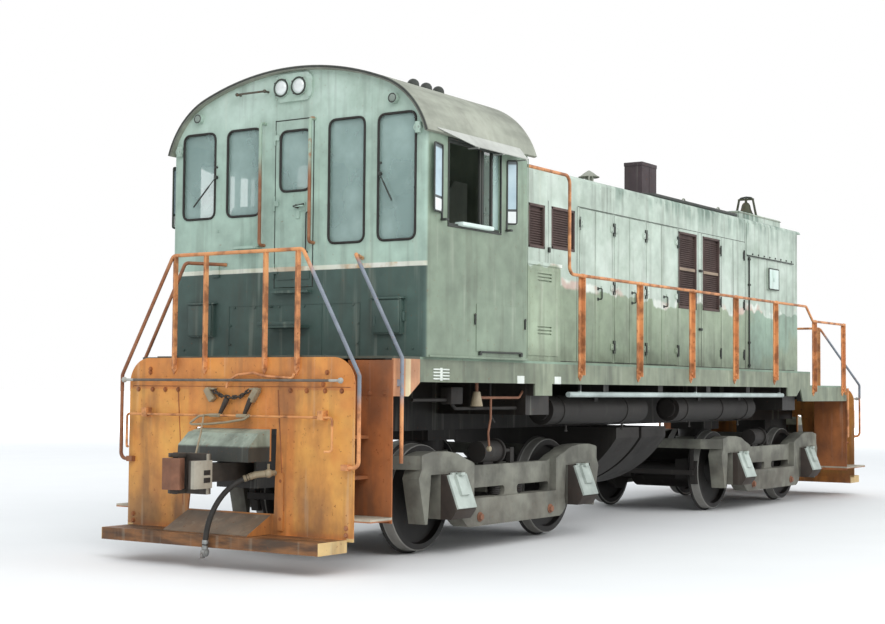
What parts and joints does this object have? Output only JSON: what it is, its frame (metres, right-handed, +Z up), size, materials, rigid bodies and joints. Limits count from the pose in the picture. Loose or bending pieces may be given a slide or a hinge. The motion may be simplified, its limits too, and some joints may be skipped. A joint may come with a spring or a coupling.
{
  "type": "diesel locomotive",
  "caption": "End-cab diesel switching locomotive with an arched cab, a long hood with doors, swivelling trucks, end pilots with footboards and automatic couplers.",
  "frame": {"origin": "bottom centre of the bounding box, level with the lowest point of the wheel flanges", "axes": "+X from the cab end towards the hood end, +Y to the left when facing the hood end, +Z up"},
  "size_m": [14.344, 3.28, 4.6548],
  "materials": {
    "green_paint": "weathered satin",
    "roof_paint": "weathered matte",
    "orange_paint": "weathered satin",
    "rail_paint": "weathered matte",
    "frame_paint": "weathered satin",
    "truck_steel": "dusty matte",
    "black_paint": "dirty matte",
    "cab_inside": "worn satin",
    "coupler_steel": "rusty matte",
    "wheel_steel": "dull",
    "window_glass": "clear",
    "lamp_metal": "satin",
    "bell_metal": "tarnished",
    "seat_cover": "worn",
    "hose_rubber": "matte"
  },
  "bodies": {
    "frame": {"air_hose": "hose_rubber", "air_reservoirs": "black_paint", "angle_cocks": "coupler_steel", "battery_boxes": "green_paint", "bell": "bell_metal", "cab_awnings": "roof_paint", "cab_end_wall": "green_paint", "cab_floor": "cab_inside", "cab_front_wall": "green_paint", "cab_glass": "window_glass", "cab_left_wall": "green_paint", "cab_right_wall": "green_paint", "cab_roof": "roof_paint", "cab_seats": "seat_cover", "corner_steps": "frame_paint", "couplers": "coupler_steel", "cut_levers": "rail_paint", "deck": "frame_paint", "end_handrails": "rail_paint", "engine": "black_paint", "exhaust_stack": "black_paint", "footboards": "orange_paint", "fuel_tank": "black_paint", "glad_hand": "coupler_steel", "hood_front": "green_paint", "hood_grilles": "roof_paint", "hood_left_side": "green_paint", "hood_right_side": "green_paint", "hood_roof": "roof_paint", "lamps": "lamp_metal", "pilots": "orange_paint", "radiator_hatch": "roof_paint", "roof_fittings": "roof_paint", "side_handrails": "rail_paint", "sill_pipes": "black_paint", "underframe": "frame_paint"},
    "truck_cab_end": {"truck_frame_cab_end": "truck_steel", "truck_gear_cab_end": "truck_steel"},
    "truck_hood_end": {"truck_frame_hood_end": "truck_steel", "truck_gear_hood_end": "truck_steel"},
    "axle_1": {"wheelset_1": "wheel_steel"},
    "axle_2": {"wheelset_2": "wheel_steel"},
    "axle_3": {"wheelset_3": "wheel_steel"},
    "axle_4": {"wheelset_4": "wheel_steel"},
    "end_door": {"cab_door": "green_paint", "cab_door_glass": "window_glass"},
    "jaw_cab_end": {"knuckle_cab_end": "coupler_steel"},
    "jaw_hood_end": {"knuckle_hood_end": "coupler_steel"},
    "door_left_1a": {"hood_door_left_1a": "green_paint"},
    "door_left_1b": {"hood_door_left_1b": "green_paint"},
    "door_left_2a": {"hood_door_left_2a": "green_paint"},
    "door_left_2b": {"hood_door_left_2b": "green_paint"},
    "door_left_3a": {"hood_door_left_3a": "green_paint"},
    "door_left_3b": {"hood_door_left_3b": "green_paint"},
    "door_right_1a": {"hood_door_right_1a": "green_paint"},
    "door_right_1b": {"hood_door_right_1b": "green_paint"},
    "door_right_2a": {"hood_door_right_2a": "green_paint"},
    "door_right_2b": {"hood_door_right_2b": "green_paint"},
    "door_right_3a": {"hood_door_right_3a": "green_paint"},
    "door_right_3b": {"hood_door_right_3b": "green_paint"}
  },
  "joints": [
    {"name": "truck_cab_end_swivel", "type": "hinge", "parent": "frame", "child": "truck_cab_end", "pos_m": [-3.429, 0, 0.7], "axis": [0, 0, 1], "range_deg": [-12, 12]},
    {"name": "truck_hood_end_swivel", "type": "hinge", "parent": "frame", "child": "truck_hood_end", "pos_m": [3.429, 0, 0.7], "axis": [0, 0, 1], "range_deg": [-12, 12]},
    {"name": "axle_1_roll", "type": "hinge", "parent": "truck_cab_end", "child": "axle_1", "pos_m": [-4.648, 0, 0.534], "axis": [0, 1, 0], "continuous": true},
    {"name": "axle_2_roll", "type": "hinge", "parent": "truck_cab_end", "child": "axle_2", "pos_m": [-2.21, 0, 0.534], "axis": [0, 1, 0], "continuous": true},
    {"name": "axle_3_roll", "type": "hinge", "parent": "truck_hood_end", "child": "axle_3", "pos_m": [2.21, 0, 0.534], "axis": [0, 1, 0], "continuous": true},
    {"name": "axle_4_roll", "type": "hinge", "parent": "truck_hood_end", "child": "axle_4", "pos_m": [4.648, 0, 0.534], "axis": [0, 1, 0], "continuous": true},
    {"name": "end_door_swing", "type": "hinge", "parent": "frame", "child": "end_door", "pos_m": [-5.618, 0.221, 3], "axis": [0, 0, -1], "range_deg": [0, 90]},
    {"name": "door_right_1a_swing", "type": "hinge", "parent": "frame", "child": "door_right_1a", "pos_m": [-1.685, -0.924, 2.9], "axis": [0, 0, -1], "range_deg": [0, 80]},
    {"name": "door_right_1b_swing", "type": "hinge", "parent": "frame", "child": "door_right_1b", "pos_m": [-0.869, -0.924, 2.9], "axis": [0, 0, 1], "range_deg": [0, 80]},
    {"name": "door_right_2a_swing", "type": "hinge", "parent": "frame", "child": "door_right_2a", "pos_m": [-0.839, -0.924, 2.9], "axis": [0, 0, -1], "range_deg": [0, 80]},
    {"name": "door_right_2b_swing", "type": "hinge", "parent": "frame", "child": "door_right_2b", "pos_m": [-0.033, -0.924, 2.9], "axis": [0, 0, 1], "range_deg": [0, 80]},
    {"name": "door_right_3a_swing", "type": "hinge", "parent": "frame", "child": "door_right_3a", "pos_m": [-0.003, -0.924, 2.9], "axis": [0, 0, -1], "range_deg": [0, 80]},
    {"name": "door_right_3b_swing", "type": "hinge", "parent": "frame", "child": "door_right_3b", "pos_m": [0.871, -0.924, 2.9], "axis": [0, 0, 1], "range_deg": [0, 80]},
    {"name": "door_left_1a_swing", "type": "hinge", "parent": "frame", "child": "door_left_1a", "pos_m": [-1.685, 0.924, 2.9], "axis": [0, 0, 1], "range_deg": [0, 80]},
    {"name": "door_left_1b_swing", "type": "hinge", "parent": "frame", "child": "door_left_1b", "pos_m": [-0.869, 0.924, 2.9], "axis": [0, 0, -1], "range_deg": [0, 80]},
    {"name": "door_left_2a_swing", "type": "hinge", "parent": "frame", "child": "door_left_2a", "pos_m": [-0.839, 0.924, 2.9], "axis": [0, 0, 1], "range_deg": [0, 80]},
    {"name": "door_left_2b_swing", "type": "hinge", "parent": "frame", "child": "door_left_2b", "pos_m": [-0.033, 0.924, 2.9], "axis": [0, 0, -1], "range_deg": [0, 80]},
    {"name": "door_left_3a_swing", "type": "hinge", "parent": "frame", "child": "door_left_3a", "pos_m": [-0.003, 0.924, 2.9], "axis": [0, 0, 1], "range_deg": [0, 80]},
    {"name": "door_left_3b_swing", "type": "hinge", "parent": "frame", "child": "door_left_3b", "pos_m": [0.871, 0.924, 2.9], "axis": [0, 0, -1], "range_deg": [0, 80]},
    {"name": "jaw_cab_end_turn", "type": "hinge", "parent": "frame", "child": "jaw_cab_end", "pos_m": [-7.02, 0.11, 0.826], "axis": [0, 0, -1], "range_deg": [0, 40]},
    {"name": "jaw_hood_end_turn", "type": "hinge", "parent": "frame", "child": "jaw_hood_end", "pos_m": [7.02, -0.11, 0.826], "axis": [0, 0, -1], "range_deg": [0, 40]}
  ]
}
